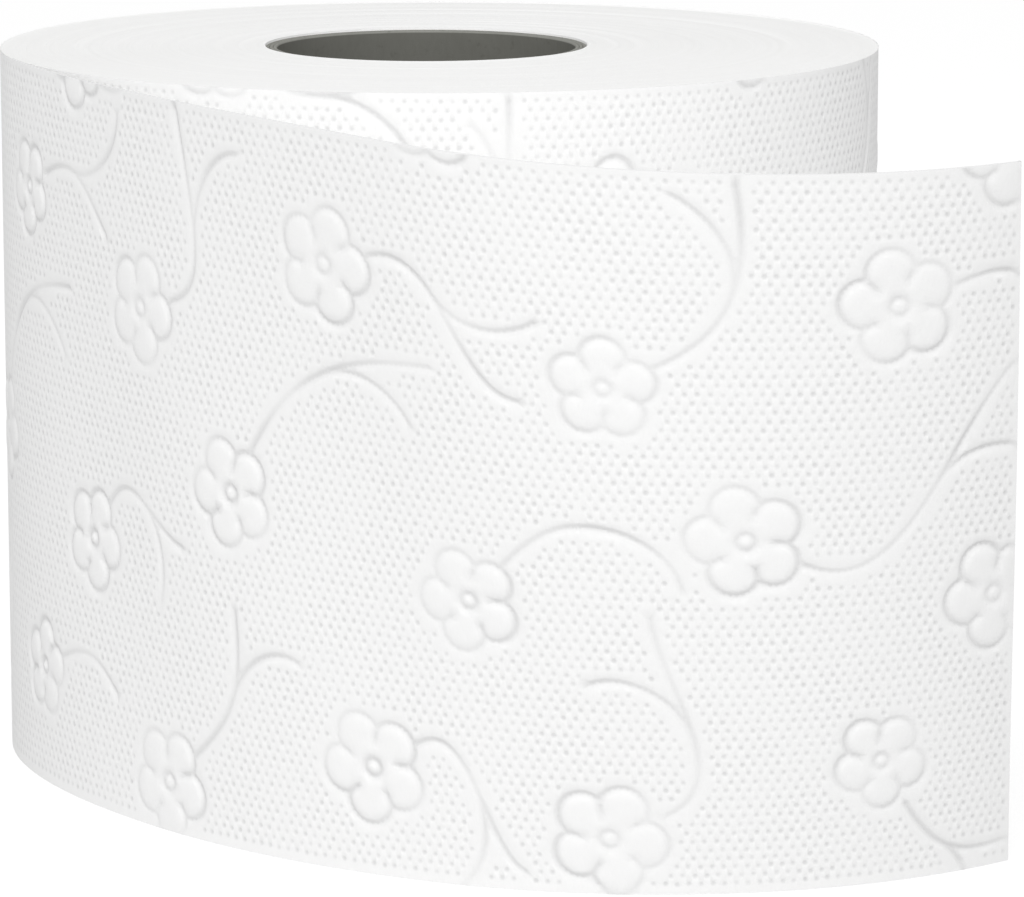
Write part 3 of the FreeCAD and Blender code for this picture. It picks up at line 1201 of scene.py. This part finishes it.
@dataclass(frozen=True)
class GreyBoard(Finish):
    """Recycled board of the tube: mottled, with darker flecks, painted shade in the seam's groove and
    the gaps of its rims, and cut rims painted paler, partly for their raw fibres and partly as
    painted light.

    Attributes:
        raw_and_lit: Colour of the freshly cut rim, paler partly for its raw fibres and partly as
            painted light on the lit rim.
        fleck_size: Flecks in a metre.
        fleck_detail: Number of finer layers of flecks.
        fleck_level: Noise over which a fleck begins.
        fleck_edge: How sharply it begins.
        cloud_share: Share of the dark tone that the cloudiness adds.
        fleck_share: Share that a fleck adds.
        shade_share: Share of painted shade that the seam's groove and the rims' gaps and edges add.
    """

    raw_and_lit: Colour = (0.335, 0.335, 0.31)
    fleck_size: float = 900.0
    fleck_detail: float = 2.0
    fleck_level: float = 0.62
    fleck_edge: float = 5.0
    cloud_share: float = 0.6
    fleck_share: float = 0.35
    shade_share: float = 0.5

    def colour(self, sheet: NodeSheet, cloud: Socket, place: Socket) -> Socket:
        """Mottles the board, paints shade in its seam and rim gaps and paints its cut rims paler, as
        Finish.colour says.
        """
        flecks = sheet.noise(place, self.fleck_size, self.fleck_detail)
        over = sheet.math("SUBTRACT", flecks, self.fleck_level)
        sharp = sheet.math("MULTIPLY", over, self.fleck_edge)
        fleck = sheet.math("MAXIMUM", sheet.math("MINIMUM", sharp, 1.0), 0.0)
        mottle = sheet.math("MULTIPLY", cloud, self.cloud_share)
        tone = sheet.math("ADD", mottle, sheet.math("MULTIPLY", fleck, self.fleck_share))
        # Painted shade in the seam's groove and in the rims' gaps and outer edges.
        seam = sheet.math("MULTIPLY", sheet.value("painted_shade"), self.shade_share)
        # The cut rims are painted paler, partly for their raw fibres and partly as painted light
        # where they face up.
        light = sheet.blend(sheet.value("cut"), self.light, self.raw_and_lit)
        return sheet.blend(sheet.math("ADD", tone, seam), light, self.dark_and_shade)


# The tissue's dark colour is the painted shade of its dents, lines and cut edges.
TISSUE_FACE = TissueFace(
    name="tissue_face",
    light=(0.95, 0.95, 0.948),
    dark_and_shade=(0.79, 0.79, 0.79),
    roughness=0.9,
    fibre_size=2600.0,
    fibre_depth=0.02,
)
# The wound edges' dark colour serves their streaks and the painted shade in their gaps.
WOUND_EDGES = WoundEdge(
    name="wound_edges",
    light=(0.96, 0.96, 0.957),
    dark_and_shade=(0.89, 0.89, 0.882),
    roughness=0.95,
    fibre_size=3200.0,
    fibre_depth=0.02,
)
# The board's dark colour serves its mottling and flecks and the painted shade of seam and rim gaps.
GREY_BOARD = GreyBoard(
    name="grey_board",
    light=(0.182, 0.182, 0.165),
    dark_and_shade=(0.104, 0.104, 0.088),
    roughness=0.88,
    fibre_size=1800.0,
    fibre_depth=0.03,
)


@dataclass(frozen=True)
class WebSizes:
    """Driving sizes of the web.

    Attributes:
        width: Width of the web.
        thickness: Thickness of the loose sheet.
        fade: Distance along the sheet over which it drifts off the roll's face.
        step_off: How far the sheet's own path starts inside the roll's face.
        wave: Height of the long gentle waves of the loose sheet.
        wave_along: Distance along the sheet in which they turn by a radian.
        wave_across: The same across the sheet.
        wave_start: Angle at which they begin, in radians.
        back_shade: Share of the front's painted shade that is painted on the sheet's back.
    """

    width: float = 95.0
    thickness: float = 0.34
    fade: float = 40.0
    step_off: float = 1.0
    wave: float = 0.22
    wave_along: float = 9.7
    wave_across: float = 31.0
    wave_start: float = 0.9
    back_shade: float = 0.6


@dataclass(frozen=True)
class PaperWeb:
    """The unprinted web: its outer turn on the roll and the loose sheet that leaves it.

    Attributes:
        sizes: Sizes of the web.
        winding: The spiral that it leaves.
        low: Path of its lower edge once loose.
        high: Path of its upper edge once loose.
        nudge: Short distance by which the sheet's slope is felt out.
    """

    sizes: WebSizes = WebSizes()
    winding: Winding = Winding()
    low: EdgeCurve = EdgeCurve(sweep_radius=102.0, sweep_turn=48.0, curl_radius=67.0, curl_turn=65.0)
    high: EdgeCurve = EdgeCurve(sweep_radius=183.0, sweep_turn=29.0, curl_radius=56.0, curl_turn=84.0)
    nudge: float = 0.05

    @property
    def loose_length(self) -> float:
        """Flat length of the loose sheet."""
        return 0.5 * (self.low.length + self.high.length)

    @property
    def turn_length(self) -> float:
        """Length of the outer turn."""
        return FULL_TURN * self.winding.radius

    def on_roll(self, flat: np.ndarray, rise: np.ndarray) -> np.ndarray:
        """Lays flat points of the outer turn on the roll.

        Args:
            flat: Flat points, with negative distances along the web.
            rise: Height of each over the paper's face.

        Returns:
            Their places.
        """
        x, y, _ = self.winding.place(-flat[:, 0] / self.winding.radius, rise)
        return np.column_stack([x, y, flat[:, 1]])

    def bare_sheet(self, along: np.ndarray, across: np.ndarray) -> np.ndarray:
        """Places on the loose sheet's path, which leans out as it goes.

        Args:
            along: Distance along the web.
            across: Distance across it from its lower edge.

        Returns:
            The places.
        """
        share = along / self.loose_length
        angle = math.radians(self.winding.leave_angle)
        reach = self.winding.radius - self.sizes.step_off
        start = np.array([self.winding.off_centre, 0.0]) + reach * ray(angle)
        heading = angle + 0.5 * math.pi
        foot = self.low.walk(start, heading, share * self.low.length)
        head = self.high.walk(start, heading, share * self.high.length)
        foot = np.column_stack([foot, np.zeros(len(foot))])
        head = np.column_stack([head, np.full(len(head), self.sizes.width)])
        return foot + unit(head - foot) * across[:, None]

    def on_sheet(self, flat: np.ndarray, rise: np.ndarray) -> np.ndarray:
        """Lays flat points on the loose sheet.

        Args:
            flat: Flat points, with distances along the web from where it leaves the roll.
            rise: Height of each over the paper's face.

        Returns:
            Their places.
        """
        along, across = flat[:, 0], flat[:, 1]
        sizes, step = self.sizes, self.nudge
        ahead = self.bare_sheet(along + step, across) - self.bare_sheet(along - step, across)
        above = self.bare_sheet(along, across + step) - self.bare_sheet(along, across - step)
        outward = unit(np.cross(ahead, above))
        free = smooth(along / sizes.fade)
        phase = along / sizes.wave_along + across / sizes.wave_across + sizes.wave_start
        wave = sizes.wave * free * np.sin(phase) * np.sin(math.pi * across / sizes.width)
        offset = rise + sizes.step_off * (1.0 - free) + wave
        return self.bare_sheet(along, across) + outward * offset[:, None]

    def lay(self, flat: np.ndarray, rise: np.ndarray) -> np.ndarray:
        """Lays flat points along the whole path, on the roll and off it, but never under the floor.

        Args:
            flat: Flat points, with negative distances along the web on the roll.
            rise: Height of each over the paper's face.

        Returns:
            Their places.
        """
        places = np.empty((len(flat), 3))
        wound = flat[:, 0] < 0.0
        places[wound] = self.on_roll(flat[wound], rise[wound])
        places[~wound] = self.on_sheet(flat[~wound], rise[~wound])
        places[:, 2] = np.maximum(places[:, 2], 0.0)
        return places

    def build(self, dress: Dress) -> list[bpy.types.Object]:
        """Draws the web, lays it along its path and makes its pieces.

        Args:
            dress: What the tissue wears and stands for.

        Returns:
            The pieces of the outer turn and of the loose sheet.
        """
        web = Emboss(-self.turn_length, self.loose_length, self.sizes.width).draw()
        front = self.lay(web.points, web.relief)
        # The outer face carries the painted shade of its dots and lines.
        face = Relief(front, web.faces, {"painted_shade": web.painted_shade})
        normals = face.normals()
        middle = web.points[web.faces].mean(axis=1)[:, 0]
        back_half = middle < -0.5 * self.turn_length
        front_half = ~back_half & (middle < 0.0)
        pieces = [
            face.make_part("outer_turn_back", dress, back_half, normals),
            face.make_part("outer_turn_front", dress, front_half, normals),
        ]
        return pieces + self.build_sheet(web, front, normals, dress)

    def build_sheet(
        self, web: FlatWeb, front: np.ndarray, normals: np.ndarray, dress: Dress
    ) -> list[bpy.types.Object]:
        """Makes the loose sheet with its back and its cut edges.

        Args:
            web: The drawn web.
            front: Places of its outer face.
            normals: Normals of its outer face.
            dress: What the tissue wears and stands for.

        Returns:
            The two lengths of the sheet.
        """
        count = len(front)
        faces = web.faces[web.points[web.faces].mean(axis=1)[:, 0] >= 0.0]
        behind = front - normals * self.sizes.thickness
        behind[:, 2] = np.maximum(behind[:, 2], 0.0)
        rim = self.rim_faces(web.points, faces, count)
        # The back takes a weaker copy of the painted shade, and the cut edges take full painted
        # shade, a grey line where shade falls.
        back_shade = self.sizes.back_shade * web.painted_shade
        solid = Relief(
            np.concatenate([front, behind, front, behind]),
            np.concatenate([faces, faces[:, ::-1] + count, rim]),
            {"painted_shade": np.concatenate([web.painted_shade, back_shade, np.ones(2 * count)])},
        )
        whole = solid.normals()
        whole[:count] = normals
        near = np.tile(web.points[:, 0], 4)[solid.faces].mean(axis=1) < 0.5 * self.loose_length
        return [
            solid.make_part("loose_sheet_near", dress, near, whole),
            solid.make_part("loose_sheet_end", dress, ~near, whole),
        ]

    def rim_faces(self, flat: np.ndarray, faces: np.ndarray, count: int) -> np.ndarray:
        """Joins front and back along the sheet's cut edges.

        Args:
            flat: Flat points.
            faces: Triangles of the front.
            count: Number of points of one face.

        Returns:
            Triangles between the third and the fourth copy of the points.
        """
        low = flat[:, 1] < EDGE_TOLERANCE
        high = flat[:, 1] > self.sizes.width - EDGE_TOLERANCE
        end = flat[:, 0] > self.loose_length - EDGE_TOLERANCE
        rim: list[tuple[int, int, int]] = []
        for first, second in np.concatenate([faces[:, [0, 1]], faces[:, [1, 2]], faces[:, [2, 0]]]):
            if any(edge[first] and edge[second] for edge in (low, high, end)):
                near, far = first + 2 * count, second + 2 * count
                rim.append((near, near + count, far))
                rim.append((far, near + count, far + count))
        return np.array(rim)


@dataclass(frozen=True)
class WoundEnds:
    """The two ends of the roll, where the cut edges of all turns show.

    Attributes:
        winding: The spiral of the turns.
        width: Width of the roll.
        columns: Points in one turn.
        collar: Clearance from the tube and depth of each ring of the first turn, which go from
            its edge down its inner face and close the roll on the tube.
        gap_depth: Depth of the gap between two turns.
        gap_ahead: Turns ahead of the outer end at which the gap would begin to open.
        bundle: Turns in a bundle that stands back as one.
        stagger: How far whole bundles of turns stand back.
        shiver: How far a single turn stands back.
        even_share: Share of the stagger that is the same all round.
        lobes: Places round the roll where the rest of it is at its most.
        creep: Angle by which they move on from turn to turn, in radians.
        outer_turns: Turns over which the unevenness sets in at the outside.
        inner_turns: Turns over which it fades towards the tube.
        seed: Seed of the unevenness.
    """

    winding: Winding = Winding()
    width: float = 95.0
    columns: int = 96
    collar: tuple[tuple[float, float], ...] = ((0.75, 0.45), (0.22, 0.03), (0.05, 0.10), (0.05, 3.0))
    gap_depth: float = 0.07
    gap_ahead: float = 0.5
    bundle: int = 4
    stagger: float = 0.15
    shiver: float = 0.04
    even_share: float = 0.55
    lobes: float = 2.0
    creep: float = 0.21
    outer_turns: float = 1.5
    inner_turns: float = 5.0
    seed: int = 5

    def set_back(self, turn: np.ndarray, angle: np.ndarray, seed: int) -> np.ndarray:
        """How far the edge stands back from the end plane.

        Args:
            turn: Number of the turn, counted from outside.
            angle: Angle round the roll.
            seed: Seed of this end.

        Returns:
            The distance, never negative.
        """
        chance = np.random.default_rng(seed)
        # painted_shade: Shade painted at each point, 0 to 1, as hard as it is pressed.
        numbers = np.arange(int(self.winding.turns) + 3)
        starts = numbers[:: self.bundle]
        bundles = np.interp(turn, starts, chance.uniform(0.0, 1.0, starts.size))
        single = np.interp(turn, numbers, chance.uniform(0.0, 1.0, numbers.size))
        phase = self.lobes * angle + self.creep * turn + chance.uniform(0.0, FULL_TURN)
        swing = 0.5 + 0.5 * np.sin(phase)
        share = self.even_share + (1.0 - self.even_share) * swing
        back = self.stagger * bundles * share + self.shiver * single
        left = self.winding.turns - turn
        return back * smooth(turn / self.outer_turns) * smooth(left / self.inner_turns)

    def collar_rings(self) -> np.ndarray:
        """Rings of the first turn's edge and inner face.

        Returns:
            Places along X and Y, and the depth under the end plane, ring by ring.
        """
        angle = -FULL_TURN * np.arange(self.columns) / self.columns
        rings = []
        for clearance, depth in self.collar:
            reach = self.winding.tube_radius + clearance
            height = np.full(self.columns, depth)
            rings.append(np.column_stack([reach * np.cos(angle), reach * np.sin(angle), height]))
        return np.concatenate(rings)

    def join(self, steps: int) -> np.ndarray:
        """Joins the turns and the collar by triangles.

        Args:
            steps: Number of points of the spiral, first on the turns and then in their gaps.

        Returns:
            The triangles.
        """
        spiral = np.arange(steps)
        inner = np.arange(steps - self.columns)
        faces = [
            band(spiral, spiral + steps),
            band(inner + steps, inner + self.columns),
        ]
        around = 2 * steps + np.append(np.arange(self.columns), 0)
        for number in range(len(self.collar) - 1):
            ring = around + number * self.columns
            faces.append(band(ring, ring + self.columns))
        return np.concatenate(faces)

    def build(self, end: End, dress: Dress) -> bpy.types.Object:
        """Makes one end.

        Args:
            end: Which end.
            dress: What the wound edges wear and stand for.

        Returns:
            The piece.
        """
        steps = int(self.winding.turns * self.columns)
        turn = np.arange(steps) / self.columns
        turn_x, turn_y, angle = self.winding.place(FULL_TURN * turn, 0.0)
        gap_x, gap_y, _ = self.winding.place(FULL_TURN * turn, -0.5 * self.winding.layer)
        depth = self.set_back(turn, angle, self.seed + (end is End.LOWER))
        gap_depth = depth + self.gap_depth * smooth(turn + self.gap_ahead)
        turns = np.column_stack([turn_x, turn_y, depth])
        gaps = np.column_stack([gap_x, gap_y, gap_depth])
        collar = self.collar_rings()
        places = np.concatenate([turns, gaps, collar])
        faces = self.join(steps)
        if end is End.UPPER:
            places[:, 2] = self.width - places[:, 2]
        else:
            faces = faces[:, ::-1]
        values = {
            # The points in the gaps between turns take painted shade.
            "painted_shade": np.concatenate([np.zeros(steps), np.ones(steps), np.zeros(len(collar))]),
            "turn": np.concatenate([turn, turn, np.full(len(collar), self.winding.turns)]),
        }
        return Relief(places, faces, values).make(f"{end.value}_wound_end", dress)


@dataclass(frozen=True)
class SkinRing:
    """One ring of points of the tube's skin.

    Attributes:
        radius: Radius of the ring.
        height: Height over the floor.
        shade: How much shade is painted on it, 0 to 1.
        bored: 1 in the bore, where the seam shows, and 0 elsewhere.
        cut: 1 on a cut rim, which is painted paler, and 0 elsewhere.
    """

    radius: float
    height: float
    shade: float = 0.0
    bored: float = 0.0
    cut: float = 0.0


@dataclass(frozen=True)
class CutRim:
    """The cut rim of the board, with the gaps between its plies.

    Attributes:
        plies: Layers of board that show in the rim.
        flat: How far the rim's flat lies under the tube's end.
        inner_round: Breadth and depth of the worn edge at the bore.
        outer_round: Breadth and depth of the worn edge at the outer wall.
        outer_shade: How dark that edge is.
        gap_half: Half width of the gap between two plies.
        gap_depth: Depth of that gap.
        gap_shade: How dark it is.
        lip_depth: Depth of the gap's lips.
        lip_shade: How dark they are.
    """

    plies: int = 3
    flat: float = 0.02
    inner_round: tuple[float, float] = (0.12, 0.22)
    outer_round: tuple[float, float] = (0.10, 0.20)
    outer_shade: float = 0.2
    gap_half: float = 0.07
    gap_depth: float = 0.20
    gap_shade: float = 0.9
    lip_depth: float = 0.03
    lip_shade: float = 0.1

    def profile(self, bore: float, wall: float) -> list[tuple[float, float, float]]:
        """Draws the rim from the bore outwards.

        Args:
            bore: Radius of the bore.
            wall: Thickness of the wall.

        Returns:
            Radius, distance below the end and darkness of each point.
        """
        breadth, depth = self.inner_round
        rim = [(bore, depth, 0.0), (bore + breadth, self.flat, 0.0)]
        for number in range(1, self.plies):
            gap = bore + wall * number / self.plies
            rim.append((gap - self.gap_half, self.lip_depth, self.lip_shade))
            rim.append((gap, self.gap_depth, self.gap_shade))
            rim.append((gap + self.gap_half, self.lip_depth, self.lip_shade))
        breadth, depth = self.outer_round
        rim.append((bore + wall - breadth, self.flat, 0.0))
        rim.append((bore + wall, depth, self.outer_shade))
        return rim


@dataclass(frozen=True)
class BoardTube:
    """The board tube, wound from a strip whose edges meet in a slanting seam.

    Attributes:
        bore: Radius of the bore.
        wall: Thickness of the wall.
        length: Length of the tube.
        recess: How far its upper rim lies under the paper's end.
        rim: The cut rim.
        rim_room: Distance from the ends at which the wall's points begin.
        pitch: Rise of the seam in one turn.
        seam_top: Angle of the seam at the upper end, in degrees.
        seam_half: Half width of the seam.
        seam_depth: Depth of the seam.
        seam_side: Distance from the seam of the last point that is set for its sake.
        wobble: How far the bore is out of round.
        wobble_points: Places round the bore where that changes.
        wobble_run: Distance from the seam over which it sets in.
        columns: Points round the tube.
        rows: Points along it.
        seed: Seed of its unevenness.
    """

    bore: float = 20.1
    wall: float = 1.5
    length: float = 95.0
    recess: float = 0.3
    rim: CutRim = CutRim()
    rim_room: float = 0.3
    pitch: float = 66.0
    seam_top: float = -60.0
    seam_half: float = 0.22
    seam_depth: float = 0.28
    seam_side: float = 1.0
    wobble: float = 0.04
    wobble_points: int = 24
    wobble_run: float = 8.0
    columns: int = 132
    rows: int = 72
    seed: int = 3

    def seam_columns(self) -> np.ndarray:
        """Distances round the bore, closer together beside the seam."""
        around = FULL_TURN * self.bore
        close = np.array([0.0, self.seam_half, 2.0 * self.seam_half, self.seam_side])
        even = np.linspace(2.0 * self.seam_side, around - 2.0 * self.seam_side, self.columns)
        return np.concatenate([close, even, around - close[:0:-1]])

    def skin(self) -> list[SkinRing]:
        """Rings up the bore, over the upper rim, down the outer wall and under the lower rim."""
        top = self.length - self.recess
        heights = np.linspace(self.rim_room, top - self.rim_room, self.rows)
        rim = self.rim.profile(self.bore, self.wall)
        rings = [SkinRing(self.bore, height, bored=1.0) for height in heights]
        rings += [SkinRing(radius, top - below, shade, cut=1.0) for radius, below, shade in rim]
        rings += [SkinRing(self.bore + self.wall, height) for height in heights[::-1]]
        rings += [SkinRing(radius, below, shade, cut=1.0) for radius, below, shade in reversed(rim)]
        return rings

    def out_of_round(self, around: np.ndarray, aside: np.ndarray) -> np.ndarray:
        """How far the bore is out of round.

        Args:
            around: Angles from the seam, in radians.
            aside: Distances from the seam.

        Returns:
            The distance at each angle, 0 at the seam.
        """
        chance = np.random.default_rng(self.seed)
        stations = np.linspace(0.0, FULL_TURN, self.wobble_points)
        drawn = np.interp(around, stations, chance.uniform(-1.0, 1.0, self.wobble_points))
        return self.wobble * drawn * smooth(aside / self.wobble_run)

    def build(self, dress: Dress) -> bpy.types.Object:
        """Makes the tube: bore, both rims and outer wall in one closed skin.

        Args:
            dress: What the board wears and stands for.

        Returns:
            The piece.
        """
        distance = self.seam_columns()
        around = distance / self.bore
        aside = np.minimum(distance, FULL_TURN * self.bore - distance)
        groove = np.exp(-((aside / self.seam_half) ** 2))
        dent = self.seam_depth * groove + self.out_of_round(around, aside)
        skin = self.skin()
        places: list[np.ndarray] = []
        for ring in skin:
            rise = FULL_TURN * (ring.height - self.length) / self.pitch
            angle = around + math.radians(self.seam_top) + rise
            reach = ring.radius + ring.bored * dent
            height = np.full(angle.size, ring.height)
            places.append(np.column_stack([reach * np.cos(angle), reach * np.sin(angle), height]))
        size = distance.size
        loop = np.append(np.arange(size), 0)
        faces = [
            band(loop + number * size, loop + ((number + 1) % len(skin)) * size)
            for number in range(len(skin))
        ]
        # Painted shade in the rims' gaps and edges and in the seam's groove in the bore.
        shades = [np.maximum(ring.shade, ring.bored * groove) for ring in skin]
        values = {
            "painted_shade": np.concatenate(shades),
            "cut": np.repeat([ring.cut for ring in skin], size),
        }
        return Relief(np.concatenate(places), np.concatenate(faces), values).make("board_tube", dress)


@dataclass(frozen=True)
class Studio:
    """The plain white studio: floor, light and camera.

    Attributes:
        floor_half: Half the width of the floor.
        floor_glow: What the floor gives of itself to the camera.
        floor_share: Share of the light on it that it returns to the camera.
        floor_tone: Share of the light that the floor throws back on the roll.
        sky: Strength of the even light.
        lamp_place: Where the soft front lamp hangs.
        lamp_aim: What it points at.
        lamp_side: Length of the square lamp's side.
        lamp_power: Power of the lamp, in watts.
        camera_place: Where the camera stands.
        camera_drop: Angle at which it looks down, in degrees.
        focal_pixels: Focal length in pixels of the picture.
        picture_width: Width of the picture in pixels.
        camera_range: Distance up to which the camera sees, in metres.
    """

    floor_half: float = 4000.0
    floor_glow: float = 0.70
    floor_share: float = 0.36
    floor_tone: float = 0.56
    sky: float = 0.715
    lamp_place: tuple[float, float, float] = (-120.0, -1970.0, 1300.0)
    lamp_aim: tuple[float, float, float] = (0.0, -30.0, 50.0)
    lamp_side: float = 1100.0
    lamp_power: float = 28.6
    camera_place: tuple[float, float, float] = (11.53, -700.0, 168.2)
    camera_drop: float = 10.41
    focal_pixels: float = 5214.3
    picture_width: int = 1024
    camera_range: float = 50.0

    @staticmethod
    def start_sheet(owner: bpy.types.Material | bpy.types.World) -> NodeSheet:
        """Starts an empty sheet on a material or a world."""
        owner.use_nodes = True
        owner.node_tree.nodes.clear()
        return NodeSheet(owner.node_tree)

    @staticmethod
    def choose(sheet: NodeSheet, unseen: Socket, seen: Socket, surface: Socket) -> None:
        """Shows one shader where the camera, gloss or glass looks, and another to all other light.

        Args:
            sheet: The sheet to lay it out on.
            unseen: Shader for the light that reaches the roll.
            seen: Shader for what looks at it.
            surface: Socket that takes the result.
        """
        path = sheet.add("ShaderNodeLightPath")
        direct = sheet.math("MAXIMUM", path.outputs["Is Camera Ray"], path.outputs["Is Glossy Ray"])
        choice = sheet.add("ShaderNodeMixShader")
        looked_at = sheet.math("MAXIMUM", direct, path.outputs["Is Transmission Ray"])
        sheet.link(looked_at, choice.inputs[0])
        sheet.link(unseen, choice.inputs[1])
        sheet.link(seen, choice.inputs[2])
        sheet.link(choice.outputs[0], surface)

    def add_floor(self) -> None:
        """Lays the white floor, which keeps the roll's soft shadow."""
        material = bpy.data.materials.new("studio_floor")
        sheet = self.start_sheet(material)
        out = sheet.add("ShaderNodeOutputMaterial")
        plain = sheet.add("ShaderNodeBsdfDiffuse")
        sheet.feed(plain.inputs["Color"], (self.floor_tone,) * 3)
        weak = sheet.add("ShaderNodeBsdfDiffuse")
        sheet.feed(weak.inputs["Color"], (self.floor_share,) * 3)
        glow = sheet.add("ShaderNodeEmission")
        glow.inputs["Strength"].default_value = self.floor_glow
        bright = sheet.add("ShaderNodeAddShader")
        sheet.link(weak.outputs[0], bright.inputs[0])
        sheet.link(glow.outputs[0], bright.inputs[1])
        self.choose(sheet, plain.outputs[0], bright.outputs[0], out.inputs[0])
        half = self.floor_half * MM
        mesh = bpy.data.meshes.new("studio_floor")
        corners = [(-half, -half, 0.0), (half, -half, 0.0), (half, half, 0.0), (-half, half, 0.0)]
        mesh.from_pydata(corners, [], [(0, 1, 2, 3)])
        mesh.materials.append(material)
        floor = bpy.data.objects.new("studio_floor", mesh)
        bpy.context.scene.collection.objects.link(floor)

    def add_sky(self) -> None:
        """Sets even white light all round, and plain white where the camera sees past the floor."""
        world = bpy.data.worlds.new("studio_light")
        bpy.context.scene.world = world
        sheet = self.start_sheet(world)
        out = sheet.add("ShaderNodeOutputWorld")
        even = sheet.add("ShaderNodeBackground")
        sheet.feed(even.inputs["Color"], (1.0, 1.0, 1.0))
        even.inputs["Strength"].default_value = self.sky
        white = sheet.add("ShaderNodeBackground")
        sheet.feed(white.inputs["Color"], (1.0, 1.0, 1.0))
        self.choose(sheet, even.outputs[0], white.outputs[0], out.inputs[0])

    def add_lamp(self) -> None:
        """Hangs the square soft lamp in front of the roll."""
        lamp = bpy.data.lights.new("front_lamp", "AREA")
        lamp.size = self.lamp_side * MM
        lamp.energy = self.lamp_power
        place, aim = Vector(self.lamp_place) * MM, Vector(self.lamp_aim) * MM
        holder = bpy.data.objects.new("front_lamp", lamp)
        holder.location = place
        holder.rotation_euler = (aim - place).to_track_quat("-Z", "Y").to_euler()
        bpy.context.scene.collection.objects.link(holder)

    def add_camera(self) -> None:
        """Sets up the camera at the photograph's place and angle."""
        data = bpy.data.cameras.new("front_camera")
        data.sensor_fit = "HORIZONTAL"
        data.lens = self.focal_pixels * data.sensor_width / self.picture_width
        data.clip_end = self.camera_range
        camera = bpy.data.objects.new("front_camera", data)
        camera.location = Vector(self.camera_place) * MM
        camera.rotation_euler = (math.radians(90.0 - self.camera_drop), 0.0, 0.0)
        bpy.context.scene.collection.objects.link(camera)
        bpy.context.scene.camera = camera

    def build(self) -> None:
        """Sets the whole studio up."""
        self.add_floor()
        self.add_sky()
        self.add_lamp()
        self.add_camera()
        bpy.context.scene.view_settings.view_transform = "Standard"


def report(piece: bpy.types.Object) -> None:
    """Logs a finished piece with its number of triangles."""
    LOG.info("%s: %d triangles", piece.name, len(piece.data.polygons))


def main() -> None:
    """Builds the roll piece by piece, then the studio."""
    logging.basicConfig(level=logging.INFO, format="%(message)s")
    fibres = Fibres().make()
    tissue = Dress(TISSUE_FACE.make(fibres), Slot.TISSUE, "tissue_web")
    edges = Dress(WOUND_EDGES.make(fibres), Slot.TISSUE, "tissue_web")
    board = Dress(GREY_BOARD.make(fibres), Slot.BOARD, "core_tube")

    web = PaperWeb()
    for piece in web.build(tissue):
        report(piece)
    ends = WoundEnds(web.winding, web.sizes.width)
    for end in End:
        report(ends.build(end, edges))
    tube = BoardTube(length=web.sizes.width)
    report(tube.build(board))
    Studio().build()


if __name__ == "__main__":
    main()
